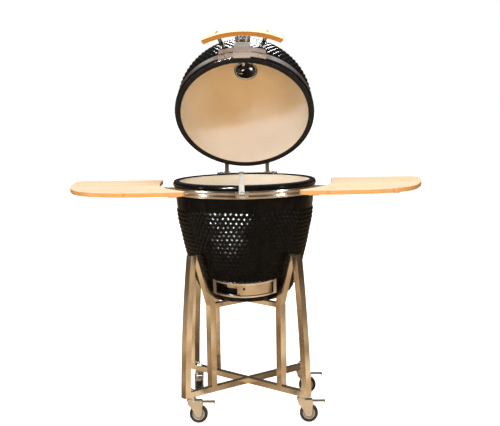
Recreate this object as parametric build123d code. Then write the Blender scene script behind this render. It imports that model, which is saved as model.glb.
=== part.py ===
from build123d import *
from math import acos, asin, cos, degrees, radians, sin, sqrt
import os

os.makedirs("parts", exist_ok=True)

# Sizes in millimetres.  Origin: floor, under the centre of the stand.  Front is -Y, up is +Z.
RIM_Z = 860.0          # top face of the felt on the bowl
FELT = 4.0             # thickness of each rim gasket
SEAM = 0.4             # air between the two gaskets with the lid shut
LIP_R = 262.0          # outer radius of both ceramic lips
LIP_H = 16.0           # height of each ceramic lip
MOUTH_R = 240.0        # inner radius of both mouths
GROOVE_R = 255.5       # ceramic radius under the steel bands
BAND_R = 258.0         # outer radius of the steel bands
BAND_H = 28.0          # width of the steel bands
OPEN_ANGLE = 53.0      # how far the lid leans back at rest
PIVOT_Y = 292.0        # hinge pin behind the bowl axis
PIVOT_Z = 854.0        # hinge pin height
PIN_R = 5.0
FIT = 0.05             # radial play of every running fit

DOME_Z = RIM_Z + SEAM + FELT   # underside of the dome's ceramic lip, lid shut
DOME_TOP = 291.0               # height of the dome's flat crown above its lip
CHIMNEY_R = 45.0
BOWL_BOTTOM = 425.0
BOWL_FLOOR = 451.0

TUBE = 25.0            # square tube of the stand
LEG_TOP_Z = 607.0
CROSS_BOTTOM_Z = 95.0  # underside of the lower cross, top of the casters
CROSS_H = 20.0
UPPER_CROSS_Z = 404.0
UPPER_CROSS_H = 16.0
POST_U = 178.5         # diagonal distance of the upright posts
STEM_U = 280.0         # diagonal distance of the caster stems
WHEEL_R = 33.0
TRAIL = 25.0           # wheel axle behind the caster stem

SHELF_TOP = 838.0
SHELF_T = 15.0
FOLD_X = 296.0         # fold axis of the shelves
FOLD_Z = 815.0

DRAFT_Z = 476.5        # middle of the draft frame
DRAFT_R = 192.0        # outer radius of the draft frame
DRAFT_TILT = 20.0      # the frame leans with the bowl wall
DRAFT_HALF = 36.0      # half of the frame's width, degrees
DRAFT_H = 57.0
DOOR_REST = 12.6       # middle of the door from the frame's middle, degrees
DOOR_WIDTH = 36.0      # degrees
SCREEN_REST = 10.0     # middle of the spark screen behind the door, degrees

DIAGONALS = {"front_left": 225, "front_right": 315, "rear_left": 135, "rear_right": 45}


def revolve_outline(points):
    """Turn a closed (radius, height) outline about Z."""
    face = make_face(Plane.XZ * Polyline(*points, close=True))
    return revolve(face, Axis.Z, 360)


def disc(radius, z0, z1, inner=0.0):
    """Round plate or ring between two heights."""
    shape = Pos(0, 0, (z0 + z1) / 2) * Cylinder(radius, z1 - z0)
    if inner > 0:
        shape -= Pos(0, 0, (z0 + z1) / 2) * Cylinder(inner, z1 - z0 + 2)
    return shape


def block(x0, x1, y0, y1, z0, z1):
    """Box between two corners."""
    return Pos((x0 + x1) / 2, (y0 + y1) / 2, (z0 + z1) / 2) * Box(x1 - x0, y1 - y0, z1 - z0)


def rod_x(radius, x0, x1, y, z):
    """Round bar lying along X."""
    return Pos((x0 + x1) / 2, y, z) * Rot(0, 90, 0) * Cylinder(radius, x1 - x0)


def rod_y(radius, y0, y1, x, z):
    """Round bar lying along Y."""
    return Pos(x, (y0 + y1) / 2, z) * Rot(90, 0, 0) * Cylinder(radius, y1 - y0)


def plate_yz(points, x0, x1):
    """Plate cut to a (y, z) outline, standing across X."""
    face = make_face(Plane.YZ * Polyline(*points, close=True))
    return Pos(x0, 0, 0) * extrude(face, amount=x1 - x0, dir=(1, 0, 0))


def sector(r0, r1, z0, z1, middle, half):
    """Curved slab: part of a ring, its middle at an angle measured from the front (-Y)."""
    a0 = radians(-90 + middle - half)
    a1 = radians(-90 + middle + half)
    am = radians(-90 + middle)
    outer = ThreePointArc(
        (r1 * cos(a0), r1 * sin(a0)), (r1 * cos(am), r1 * sin(am)), (r1 * cos(a1), r1 * sin(a1))
    )
    inner = ThreePointArc(
        (r0 * cos(a1), r0 * sin(a1)), (r0 * cos(am), r0 * sin(am)), (r0 * cos(a0), r0 * sin(a0))
    )
    side_a = Line(outer @ 1, inner @ 0)
    side_b = Line(inner @ 1, outer @ 0)
    face = make_face([outer, side_a, inner, side_b])
    return Pos(0, 0, z0) * extrude(face, amount=z1 - z0, dir=(0, 0, 1))


def lid_turn(shape):
    """Swing a lid piece from shut to the leaning-back rest position."""
    return Pos(0, PIVOT_Y, PIVOT_Z) * Rot(-OPEN_ANGLE, 0, 0) * Pos(0, -PIVOT_Y, -PIVOT_Z) * shape


def group(shapes):
    """Keep several separate solids together under one name."""
    return Compound([solid for shape in shapes for solid in shape.solids()])


def save(shape, name):
    """Write one named piece."""
    export_step(shape, f"parts/{name}.step")


# ---- ceramic bowl -------------------------------------------------------------------------
BOWL_OUTSIDE = [
    (249, 772), (243.5, 718), (233.5, 677), (225.5, 633), (214.5, 588),
    (199.5, 535), (182, 490), (157, 447), (128, BOWL_BOTTOM),
]
BOWL_INSIDE = [
    (120, BOWL_FLOOR), (154, 490), (172, 535), (189, 588), (203, 640), (213, 700), (224, 772),
]
bowl_top = RIM_Z - FELT
lip_bottom = bowl_top - LIP_H
band_bottom = lip_bottom - BAND_H

bowl_solid = revolve_outline(
    [(0, BOWL_BOTTOM), (0, bowl_top), (LIP_R, bowl_top), (LIP_R, lip_bottom),
     (GROOVE_R, lip_bottom), (GROOVE_R, band_bottom), (253, band_bottom)] + BOWL_OUTSIDE
)
bowl_hollow = revolve_outline(
    [(0, BOWL_FLOOR)] + BOWL_INSIDE
    + [(232, 812), (MOUTH_R, bowl_top), (MOUTH_R, bowl_top + 5), (0, bowl_top + 5)]
)


def draft_place(shape):
    """Lean a draft piece, built about a vertical axis, into line with the bowl wall."""
    return Pos(0, -DRAFT_R, DRAFT_Z) * Rot(DRAFT_TILT, 0, 0) * Pos(0, DRAFT_R, 0) * shape


half_h = DRAFT_H / 2
pocket = draft_place(sector(178, 250, -half_h, half_h, 0, DRAFT_HALF))
draft_hole = draft_place(sector(95, 200, -16, 18, -9, 16))
bowl = bowl_solid - bowl_hollow - pocket - draft_hole

frame_outer = sector(178, DRAFT_R, -half_h, half_h, 0, DRAFT_HALF)
track = sector(176, 190, -half_h + 3, half_h - 3, 0, DRAFT_HALF - 2)
window = sector(170, 200, -half_h + 6, half_h - 6, 0, DRAFT_HALF - 4)
draft_frame = draft_place(frame_outer - track - window)

door_plate = sector(187.2, 188.8, -half_h + 4, half_h - 4, DOOR_REST, DOOR_WIDTH / 2)
door_pull = sector(188.8, 197, -6, 6, DOOR_REST - 13, 1.2)
draft_door = draft_place(door_plate + door_pull)

screen = sector(181.4, 182.8, -half_h + 4, half_h - 4, SCREEN_REST, DOOR_WIDTH / 2)
for step in range(-4, 5):
    screen -= sector(178, 186, -half_h + 13, half_h - 13, SCREEN_REST + step * 3.4, 1.1)
screen_pull = sector(182.8, 186.2, -half_h + 4, half_h - 4, SCREEN_REST - 17.3, 0.7)
draft_screen = draft_place(screen + screen_pull)

base_gasket = disc(259, bowl_top, RIM_Z, MOUTH_R)
base_band = disc(BAND_R, band_bottom + 0.2, lip_bottom - 0.2, GROOVE_R)

# ---- fire pot, ring, grate and grid -------------------------------------------------------
firebox = revolve_outline([
    (95, BOWL_FLOOR), (115, BOWL_FLOOR), (146, 500), (166, 560), (184, 640),
    (162, 640), (148, 570), (140, 530), (140, 520), (108, 520), (108, 500),
])
firebox -= block(-45, 45, -200, -60, BOWL_FLOOR - 2, 493)
for angle in range(30, 360, 60):
    firebox -= Rot(0, 0, angle) * Pos(160, 0, 590) * Rot(0, 90, 0) * Cylinder(7, 60)

fire_ring = revolve_outline([
    (162, 640), (184, 640), (196, 700), (209, 770), (187, 770), (176, 700),
])

charcoal_grate = disc(135, 520, 528)
for row in range(-5, 6):
    half_length = sqrt(122 ** 2 - (row * 20) ** 2)
    charcoal_grate -= block(row * 20 - 5.5, row * 20 + 5.5, -half_length, -5, 518, 530)
    charcoal_grate -= block(row * 20 - 5.5, row * 20 + 5.5, 5, half_length, 518, 530)

GRID_Z = 770.3
cooking_grid = disc(206, GRID_Z, GRID_Z + 7, 199)
for row in range(-10, 11):
    reach = sqrt(202 ** 2 - (row * 18) ** 2)
    cooking_grid += rod_y(2.5, -reach, reach, row * 18, GRID_Z + 4)
for y in (-110, 0, 110):
    reach = sqrt(202 ** 2 - y ** 2)
    cooking_grid += rod_x(3, -reach, reach, y, GRID_Z + 3.2)

for shape, name in (
    (bowl, "base_bowl"), (base_gasket, "base_gasket"), (base_band, "base_band"),
    (draft_frame, "draft_frame"), (draft_door, "draft_door"), (draft_screen, "draft_screen"),
    (firebox, "firebox"), (fire_ring, "fire_ring"), (charcoal_grate, "charcoal_grate"),
    (cooking_grid, "cooking_grid"),
):
    save(shape, name)


# ---- stand --------------------------------------------------------------------------------
def diagonal_plate(points, angle, half_width=TUBE / 2):
    """Bar of the stand: a (diagonal distance, height) outline, TUBE wide, at a plan angle."""
    face = make_face(Plane.XZ * Polyline(*points, close=True))
    return Rot(0, 0, angle) * Pos(0, -half_width, 0) * extrude(face, amount=2 * half_width, dir=(0, 1, 0))


def outer_leg(angle):
    """Bowed tube from the lower cross to the top of the V."""
    out_edge = ThreePointArc((317, CROSS_BOTTOM_Z), (303, 360), (276, LEG_TOP_Z))
    in_edge = ThreePointArc((251, LEG_TOP_Z), (278, 360), (292, CROSS_BOTTOM_Z))
    top = Line(out_edge @ 1, in_edge @ 0)
    foot = Line(in_edge @ 1, out_edge @ 0)
    face = make_face(Plane.XZ * make_face([out_edge, top, in_edge, foot]).wire())
    return Rot(0, 0, angle) * Pos(0, -TUBE / 2, 0) * extrude(face, amount=TUBE, dir=(0, 1, 0))


def inner_support(angle):
    """Sloped tube under the bowl that bends into an upright post."""
    knee = UPPER_CROSS_Z + UPPER_CROSS_H
    return diagonal_plate([
        (251, LEG_TOP_Z), (226, LEG_TOP_Z), (POST_U - 12.5, knee),
        (POST_U - 12.5, CROSS_BOTTOM_Z + CROSS_H), (POST_U + 12.5, CROSS_BOTTOM_Z + CROSS_H),
        (POST_U + 12.5, knee - 4),
    ], angle)


def cross(z0, height, reach):
    """Four arms on the diagonals: one full length, and two halves butted against it."""
    z1 = z0 + height
    w = TUBE / 2
    long_arm = Rot(0, 0, 45) * block(-reach, reach, -w, w, z0, z1)
    near_arm = Rot(0, 0, 135) * block(w, reach, -w, w, z0, z1)
    far_arm = Rot(0, 0, 135) * block(-reach, -w, -w, w, z0, z1)
    return [long_arm, near_arm, far_arm]


def stem_bores(arms):
    """Drill the lower arms for the caster stems."""
    drilled = []
    for arm in arms:
        for angle in DIAGONALS.values():
            arm -= Rot(0, 0, angle) * Pos(STEM_U, 0, CROSS_BOTTOM_Z + 10) * Cylinder(6.2, 40)
        drilled.append(arm)
    return drilled


upper_cross = group(cross(UPPER_CROSS_Z, UPPER_CROSS_H, POST_U - 12.5))
legs = {corner: outer_leg(angle) for corner, angle in DIAGONALS.items()}
lower_arms = stem_bores(cross(CROSS_BOTTOM_Z, CROSS_H, 292))
for leg in legs.values():
    lower_arms = [arm - leg for arm in lower_arms]
lower_cross = group(lower_arms)
save(upper_cross, "upper_cross")
save(lower_cross, "lower_cross")
pads = []
for corner, angle in DIAGONALS.items():
    save(group([legs[corner], inner_support(angle)]), f"leg_{corner}")
    pad = diagonal_plate([(196, 515), (216, 575), (209, 575), (189, 515)], angle, 10)
    pads.append(pad - diagonal_plate([
        (251, LEG_TOP_Z), (226, LEG_TOP_Z),
        (POST_U - 12.5, UPPER_CROSS_Z + UPPER_CROSS_H), (251, UPPER_CROSS_Z + UPPER_CROSS_H),
    ], angle, 14) - bowl_solid)
save(group(pads), "bowl_rest_pads")


# ---- casters ------------------------------------------------------------------------------
def caster_place(corner):
    """Where a caster stands and which way it trails."""
    turn = Rot(0, 0, -90) if corner == "rear_left" else Rot(0, 0, 0)
    a = radians(DIAGONALS[corner])
    return Pos(STEM_U * cos(a), STEM_U * sin(a), 0) * turn


def caster_stem():
    """Threaded stem through the lower arm, with a washer below and a domed nut on top."""
    nut = extrude(RegularPolygon(9, 6), amount=7)
    top = CROSS_BOTTOM_Z + CROSS_H
    stem = disc(6, 76, top + 6) + disc(14, 91, CROSS_BOTTOM_Z) + disc(10, 75.5, 79.2)
    dome_nut = (Pos(0, 0, top + 5) * Sphere(7.5)) & block(-9, 9, -9, 9, top + 5, top + 13)
    return stem + Pos(0, 0, top) * nut + dome_nut


FORK_CHEEK = [
    (-14, 83), (38, 83), (41, 71), (38, 50), (35, 29), (30, 23), (20, 23), (14, 29), (2, 52), (-13, 70),
]


def caster_fork():
    """Swivel head and two slanted cheeks, with the fixed axle between them."""
    fork = disc(17, 80, 90.4) + block(0, 30, -16, 16, 80, 83) - disc(6 + FIT, 70, 95)
    for side in (-1, 1):
        face = make_face(Plane.XZ * Polyline(*FORK_CHEEK, close=True))
        cheek = Pos(0, 13, 0) * extrude(face, amount=2.5, dir=(0, 1, 0))
        if side < 0:
            cheek = mirror(cheek, Plane.XZ)
        fork += cheek
    fork -= rod_y(3 + FIT, -20, 20, 34, 73)
    axle = rod_y(4, -17.5, 17.5, TRAIL, WHEEL_R)
    fork -= rod_y(4, -20, 20, TRAIL, WHEEL_R)
    return group([fork, axle])


def caster_wheel():
    """Hub with a dished ring each side, and the tyre around it."""
    hub = rod_y(22, -10, 10, TRAIL, WHEEL_R) - rod_y(4 + FIT, -12, 12, TRAIL, WHEEL_R)
    for side in (-1, 1):
        ring = rod_y(18, 7, 12, TRAIL, WHEEL_R) - rod_y(9, 5, 14, TRAIL, WHEEL_R)
        hub -= ring if side > 0 else mirror(ring, Plane.XZ)
    tyre = rod_y(WHEEL_R, -11, 11, TRAIL, WHEEL_R) - rod_y(22, -13, 13, TRAIL, WHEEL_R)
    tyre = fillet(tyre.edges().filter_by(GeomType.CIRCLE).sort_by(lambda e: -e.radius)[:2], 4)
    return group([hub, tyre])


def caster_pedal():
    """Foot brake pressed down by a toe, pivoting between the cheeks."""
    pedal = block(36, 84, -12, 12, 75, 78) + rod_y(5.5, -12, 12, 34, 73)
    pedal += rod_y(3, -15.5, 15.5, 34, 73)
    return pedal + block(80, 84, -12, 12, 71, 78)


stems = []
for corner in DIAGONALS:
    place = caster_place(corner)
    stems.append(place * caster_stem())
    save(place * caster_fork(), f"caster_fork_{corner}")
    save(place * caster_wheel(), f"caster_wheel_{corner}")
    save(place * caster_pedal(), f"brake_pedal_{corner}")
save(group(stems), "caster_stems")

# ---- ceramic dome, built shut and then leaned back -----------------------------------------
def egg_curve(radius, base, rise, power, stop, steps=12):
    """Points up an egg-shaped wall from its widest ring to a radius near the crown."""
    last = degrees(acos((stop / radius) ** (power / 2)))
    points = []
    for step in range(steps + 1):
        turn = radians(last * step / steps)
        points.append((radius * cos(turn) ** (2 / power), base + rise * sin(turn) ** (2 / power)))
    return points


DOME_OUTSIDE = egg_curve(252, 60, 240, 1.9, 64)[:-1] + [(64, DOME_TOP)]
DOME_INSIDE = egg_curve(233, 50, 222, 1.9, CHIMNEY_R)[::-1] + [(MOUTH_R, 12), (MOUTH_R, 0)]
dome_profile = (
    [(LIP_R, 0), (LIP_R, LIP_H), (GROOVE_R, LIP_H), (GROOVE_R, LIP_H + BAND_H), (253, LIP_H + BAND_H)]
    + DOME_OUTSIDE + [(CHIMNEY_R, DOME_TOP)] + DOME_INSIDE
)
dome_shell = revolve_outline([(r, DOME_Z + h) for r, h in dome_profile])
band_z = DOME_Z + LIP_H

THERMO_H = 135
THERMO_Y = -238.0
THERMO_LEAN = 21


def thermo_place(shape):
    """Put a piece, built with its face towards +Z, on the front of the dome."""
    return Pos(0, THERMO_Y, DOME_Z + THERMO_H) * Rot(90 - THERMO_LEAN, 0, 0) * shape


POST_TURN = 16.8
HANDLE_Z = DOME_Z + 81

dome = dome_shell - thermo_place(disc(5, -60, 20))
dome_solid = revolve_outline(
    [(0, DOME_Z)] + [(r, DOME_Z + h) for r, h in dome_profile[:5] + DOME_OUTSIDE] + [(0, DOME_Z + DOME_TOP)]
)
dome_gasket = disc(259, RIM_Z + SEAM, DOME_Z, MOUTH_R)
dome_band = disc(BAND_R, band_z + 0.2, band_z + BAND_H - 0.2, GROOVE_R)

# Catch plate with two pairs of clamp ears, standing just proud of the lip.
catch = block(-31, 31, -265.6, -262.4, DOME_Z - 5, DOME_Z + 88)
catch -= block(-21, 21, -267, -264.4, DOME_Z + 46, DOME_Z + 80)
catch += block(-27, 27, -267.8, -265.6, DOME_Z + 31, DOME_Z + 37)
catch += block(-24, 24, -263, -240, band_z + 2, band_z + BAND_H - 2) - disc(BAND_R, 800, 1000)
for side in (-1, 1):
    for z0, z1 in ((4, 27), (34, 60)):
        catch += sector(262.4, 265.6, DOME_Z + z0, DOME_Z + z1, side * 12.8, 6.3)
    catch += sector(BAND_R, 263, band_z + 3, DOME_Z + 26, side * 13.5, 2.0)

posts = Part()
for side in (-1, 1):
    stalk = Rot(90, 0, 0) * Pos(0, 0, 240) * Cylinder(7, 110)
    foot = Rot(90, 0, 0) * Pos(0, 0, 250) * Cylinder(13, 10)
    post = Rot(0, 0, side * POST_TURN) * Pos(0, 0, HANDLE_Z + 13.5) * (stalk + foot)
    posts += post
posts = posts - disc(500, HANDLE_Z - 60, HANDLE_Z + 80, 299) - dome_solid
handle = sector(299, 319, HANDLE_Z, HANDLE_Z + 27, 0, 28.4)
handle = fillet(handle.edges().filter_by(Axis.Z), 6)

bezel = thermo_place(disc(29, 2, 13, 25) + disc(29, 2, 4, 5.2)) - dome_solid
bezel_back = thermo_place(disc(24, -8, 2, 5.2)) - dome_solid
dial = thermo_place(disc(24.8, 4, 5.2, 0))
needle_stem = thermo_place(disc(5, -95, 4))
lens = thermo_place(disc(24.8, 10.5, 12.5))

# Chimney top: fixed collar, swivelling damper and turning daisy wheel.
top_z = DOME_Z + DOME_TOP
COLLAR_TOP = top_z + 6
collar = disc(62, top_z, COLLAR_TOP, 38) + disc(44.6, top_z - 24, top_z, 38)
collar += Pos(68, 0, top_z + 3) * Cylinder(12, 6)
collar -= disc(38, top_z - 30, top_z + 10)
collar -= Pos(68, 0, top_z) * Cylinder(4 + FIT, 40)

cap = disc(60, COLLAR_TOP + 0.4, COLLAR_TOP + 7) + disc(60, COLLAR_TOP + 7, COLLAR_TOP + 12, 54)
cap += Pos(68, 0, COLLAR_TOP + 3.7) * Cylinder(12, 6.6)
cap += Pos(68, 0, COLLAR_TOP + 1) * Cylinder(4, 12)
cap += disc(4, COLLAR_TOP + 2, COLLAR_TOP + 13)
wheel = disc(52, COLLAR_TOP + 7.4, COLLAR_TOP + 10.4, 4 + FIT)
wheel += disc(9, COLLAR_TOP + 10.4, COLLAR_TOP + 13.4, 4 + FIT)
wheel += disc(9, COLLAR_TOP + 13.4, COLLAR_TOP + 20)
wheel += Pos(44, 0, COLLAR_TOP + 13) * Cylinder(4, 6)
for petal in range(5):
    hole = Rot(0, 0, petal * 72 + 36) * Pos(28, 0, COLLAR_TOP + 7) * Cylinder(9.5, 40)
    cap -= hole
    wheel -= Rot(0, 0, 18) * hole

# ---- rear hinge ----------------------------------------------------------------------------
ARM_OUTLINE = [
    (302, 862), (300, 843), (288, 843), (268, 868), (240, 872), (240, 940), (262, 940), (266, 900),
]
arm_pieces = []
for side in (-1, 1):
    x0 = 79 * side - 7.5
    arm = plate_yz(ARM_OUTLINE, x0, x0 + 15) + rod_x(12, x0, x0 + 15, PIVOT_Y, PIVOT_Z)
    arm -= rod_x(PIN_R + FIT, -120, 120, PIVOT_Y, PIVOT_Z)
    arm -= disc(LIP_R, 800, band_z) + disc(BAND_R, band_z, band_z + BAND_H)
    arm -= dome_solid
    arm_pieces.append(arm - disc(BAND_R, band_z + 20, DOME_Z + 80))
hinge_arms = group(arm_pieces)

hinge_plate = sector(BAND_R, BAND_R + 3, band_bottom + 1, lip_bottom - 1, 180, 25)
LUG_OUTLINE = [
    (240, 814), (268, 814), (301, 846), (302, 856), (292, 865), (282, 860), (266, 838), (240, 838),
]
lug_solid = Part() + hinge_plate
for x0 in (-90.5, -69.5, 65.5, 87.5):
    lug_solid += plate_yz(LUG_OUTLINE, x0, x0 + 3)
lug_solid -= disc(BAND_R, 780, 880)
hinge_bracket = lug_solid - rod_x(PIN_R, -120, 120, PIVOT_Y, PIVOT_Z)
hinge_pin = rod_x(PIN_R, -114, 114, PIVOT_Y, PIVOT_Z)
for side in (-1, 1):
    hinge_pin += rod_x(8, 114 * side - 3, 114 * side + 3, PIVOT_Y, PIVOT_Z)

springs = []
for side in (-1, 1):
    coils = Part()
    for turn in range(6):
        x = side * (94 + turn * 3.0)
        coils += Pos(x, PIVOT_Y, PIVOT_Z) * Rot(0, 90, 0) * Torus(7.4, 1.6)
    springs.append(coils)
hinge_springs = group(springs)

# ---- latch on the bowl -----------------------------------------------------------------------
latch_plate = sector(BAND_R, 260.5, band_bottom + 2, lip_bottom - 2, 0, 5.3)
LATCH_Y = -270.0
LATCH_Z = 826.0
latch_bracket = latch_plate
for side in (-1, 1):
    latch_bracket += block(14 * side - 1.5, 14 * side + 1.5, -276, -250, 816, 835)
latch_bracket -= disc(BAND_R, 700, 900)
latch_pin = rod_x(3, -17.5, 17.5, LATCH_Y, LATCH_Z)
latch_bracket -= latch_pin

LEVER_SIDE = [(-10, 820), (10, 820), (9.6, 850), (7.6, 908), (-7.6, 908), (-9.6, 850)]
lever = extrude(Plane.XZ.offset(268.8) * make_face(Polyline(*LEVER_SIDE, close=True)), amount=5)
lever += rod_x(5.5, -12, 12, LATCH_Y - 1, LATCH_Z)
lever -= rod_x(3 + FIT, -20, 20, LATCH_Y, LATCH_Z)
lever -= block(-1.2, 1.2, -275, -272.3, 840, 900)
lever += rod_x(5, -8.5, 8.5, -275.5, 906)
lever += block(-7, 7, -281, -270, 833, 837)

# ---- folding shelves -------------------------------------------------------------------------
def shelf_board():
    """Right-hand board: straight back edge, round outer corners, hollow inner edge."""
    back = Line((332, 256), (622, 256))
    back_corner = ThreePointArc((622, 256), (648, 244), (659, 214))
    tip = ThreePointArc((659, 214), (652, 40), (610, -128))
    front_corner = ThreePointArc((610, -128), (532, -214), (420, -250))
    front = ThreePointArc((420, -250), (320, -255), (222, -246))
    hook = ThreePointArc((222, -246), (203, -230), (208, -204))
    hollow = Spline((208, -204), (266, -118), (306, -20), (322, 100), (326, 236))
    close_up = ThreePointArc((326, 236), (327, 250), (332, 256))
    edge = [back, back_corner, tip, front_corner, front, hook, hollow, close_up]
    return Pos(0, 0, SHELF_TOP - SHELF_T) * extrude(make_face(edge), amount=SHELF_T, dir=(0, 0, 1))


ARM_Y = (-96, 96)
BOARD_BOTTOM = SHELF_TOP - SHELF_T


def shelf_arms():
    """Two steel arms under the board, each with an eye at the fold axis."""
    arms = []
    for y in ARM_Y:
        arm = block(FOLD_X, 600, y - 11, y + 11, BOARD_BOTTOM - 2.5, BOARD_BOTTOM)
        for edge in (-11, 8.5):
            arm += block(FOLD_X, 560, y + edge, y + edge + 2.5, BOARD_BOTTOM - 12, BOARD_BOTTOM)
        arm += rod_y(7, y - 11, y + 11, FOLD_X, FOLD_Z)
        arm -= rod_y(4 + FIT, y - 20, y + 20, FOLD_X, FOLD_Z)
        arms.append(arm)
    return group(arms)


def shelf_bracket():
    """Plates bolted to the band, each carrying a fork and the fold pin."""
    parts = []
    for y in ARM_Y:
        turn = degrees(asin(y / BAND_R))
        plate = sector(BAND_R, BAND_R + 2.6, band_bottom + 1, lip_bottom - 1, 90 + turn, 7.5)
        for edge in (-15, 11.6):
            plate += block(225, FOLD_X, y + edge, y + edge + 3.4, 808, 822)
            plate += rod_y(7, y + edge, y + edge + 3.4, FOLD_X, FOLD_Z)
        plate += block(225, 272, y - 15, y + 15, 806, 809)
        plate -= disc(BAND_R, 780, 880)
        plate -= bowl_solid
        plate += rod_y(4, y - 17, y + 17, FOLD_X, FOLD_Z)
        parts.append(plate)
    return group(parts)


board = shelf_board()
arms = shelf_arms()
bracket = shelf_bracket()
save(board, "shelf_right")
save(mirror(board, Plane.YZ), "shelf_left")
save(arms, "shelf_arms_right")
save(mirror(arms, Plane.YZ), "shelf_arms_left")
save(bracket, "shelf_bracket_right")
save(mirror(bracket, Plane.YZ), "shelf_bracket_left")


# ---- fasteners -------------------------------------------------------------------------------
def band_bolt(angle, z, radius=4.5, stand=2.6, height=4.0):
    """Domed bolt head on a plate wrapped round a band; angle measured from the front."""
    head = Cylinder(radius, height)
    head = fillet(head.edges().group_by(Axis.Z)[-1], radius * 0.45)
    r = BAND_R + stand + height / 2 + 0.1
    return Rot(0, 0, angle - 90) * Pos(r, 0, z) * Rot(0, 90, 0) * head


base_bolts = []
middle_z = (band_bottom + lip_bottom) / 2
for side in (-1, 1):
    for y in ARM_Y:
        middle = side * (90 + degrees(asin(y / BAND_R)))
        for spread in (-5.6, 5.6):
            base_bolts.append(band_bolt(middle + spread, middle_z + 3))
    base_bolts.append(band_bolt(side * 4.3, middle_z, 3, 2.5, 2.5))
    for spread in (8, 23):
        base_bolts.append(band_bolt(180 + side * spread, middle_z, 4.5, 3))
save(group(base_bolts), "base_bolts")

lid_bolts = [band_bolt(side * 13.8, DOME_Z + 15, 4.5, 7.6) for side in (-1, 1)]
for side in (-1, 1):
    nut = Rot(90, 0, 0) * Pos(0, 0, 320.5) * Cylinder(6, 3)
    lid_bolts.append(Rot(0, 0, side * POST_TURN) * Pos(0, 0, HANDLE_Z + 13.5) * nut)

for shape, name in (
    (hinge_bracket, "hinge_bracket"), (hinge_pin, "hinge_pin"), (hinge_springs, "hinge_springs"),
    (latch_bracket, "latch_bracket"), (latch_pin, "latch_pin"), (lever, "latch_lever"),
):
    save(shape, name)
for shape, name in (
    (dome, "dome"), (dome_gasket, "dome_gasket"), (dome_band, "dome_band"),
    (hinge_arms, "hinge_arms"), (catch, "latch_catch"), (posts, "handle_posts"),
    (handle, "handle"), (group(lid_bolts), "lid_bolts"),
    (bezel + bezel_back, "thermometer_bezel"), (dial, "thermometer_dial"),
    (needle_stem, "thermometer_stem"), (lens, "thermometer_lens"),
    (collar, "vent_collar"), (cap, "vent_damper"), (wheel, "vent_wheel"),
):
    save(lid_turn(shape), name)
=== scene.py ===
import math
import random
import bpy
import bmesh
from mathutils import Matrix, Vector


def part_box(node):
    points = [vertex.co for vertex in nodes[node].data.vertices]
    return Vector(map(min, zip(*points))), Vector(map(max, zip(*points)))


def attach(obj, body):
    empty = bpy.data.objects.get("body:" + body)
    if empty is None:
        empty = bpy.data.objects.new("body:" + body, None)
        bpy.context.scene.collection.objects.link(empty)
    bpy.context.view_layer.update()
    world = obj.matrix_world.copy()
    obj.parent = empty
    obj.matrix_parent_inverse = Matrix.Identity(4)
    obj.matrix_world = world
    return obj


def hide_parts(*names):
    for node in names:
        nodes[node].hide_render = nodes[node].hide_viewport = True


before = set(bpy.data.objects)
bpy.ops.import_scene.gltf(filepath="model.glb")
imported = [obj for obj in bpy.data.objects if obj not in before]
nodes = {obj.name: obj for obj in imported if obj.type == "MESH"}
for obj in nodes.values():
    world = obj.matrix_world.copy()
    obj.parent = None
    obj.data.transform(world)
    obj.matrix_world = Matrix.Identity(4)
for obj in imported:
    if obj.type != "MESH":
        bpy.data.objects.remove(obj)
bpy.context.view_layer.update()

CORNERS = ("front_left", "front_right", "rear_left", "rear_right")

# ==== Steel cart ============================================================================
# Four A-shaped legs of polished square stainless tube, each a bowed outer tube and a sloped
# inner one that bends into an upright post.  Two crosses are welded between them.


def new_material(name):
    """Empty node material: returns it with its tree and its Principled shader."""
    mat = bpy.data.materials.new(name)
    mat.use_nodes = True
    tree = mat.node_tree
    return mat, tree, tree.nodes["Principled BSDF"]


def add(tree, kind, **values):
    """Add a shader node and set its plain properties."""
    node = tree.nodes.new(kind)
    for key, value in values.items():
        setattr(node, key, value)
    return node


def bump(tree, shader, height, strength, distance):
    """Push a height pattern into the shader's normal."""
    node = add(tree, "ShaderNodeBump")
    node.inputs["Strength"].default_value = strength
    node.inputs["Distance"].default_value = distance
    tree.links.new(height, node.inputs["Height"])
    tree.links.new(node.outputs["Normal"], shader.inputs["Normal"])


ALL_DARK, ALL_LIGHT = 0.3, 0.7     # cloud values where the tone is fully dark or light
GRAIN_DEPTH = 0.0005               # metres


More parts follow.
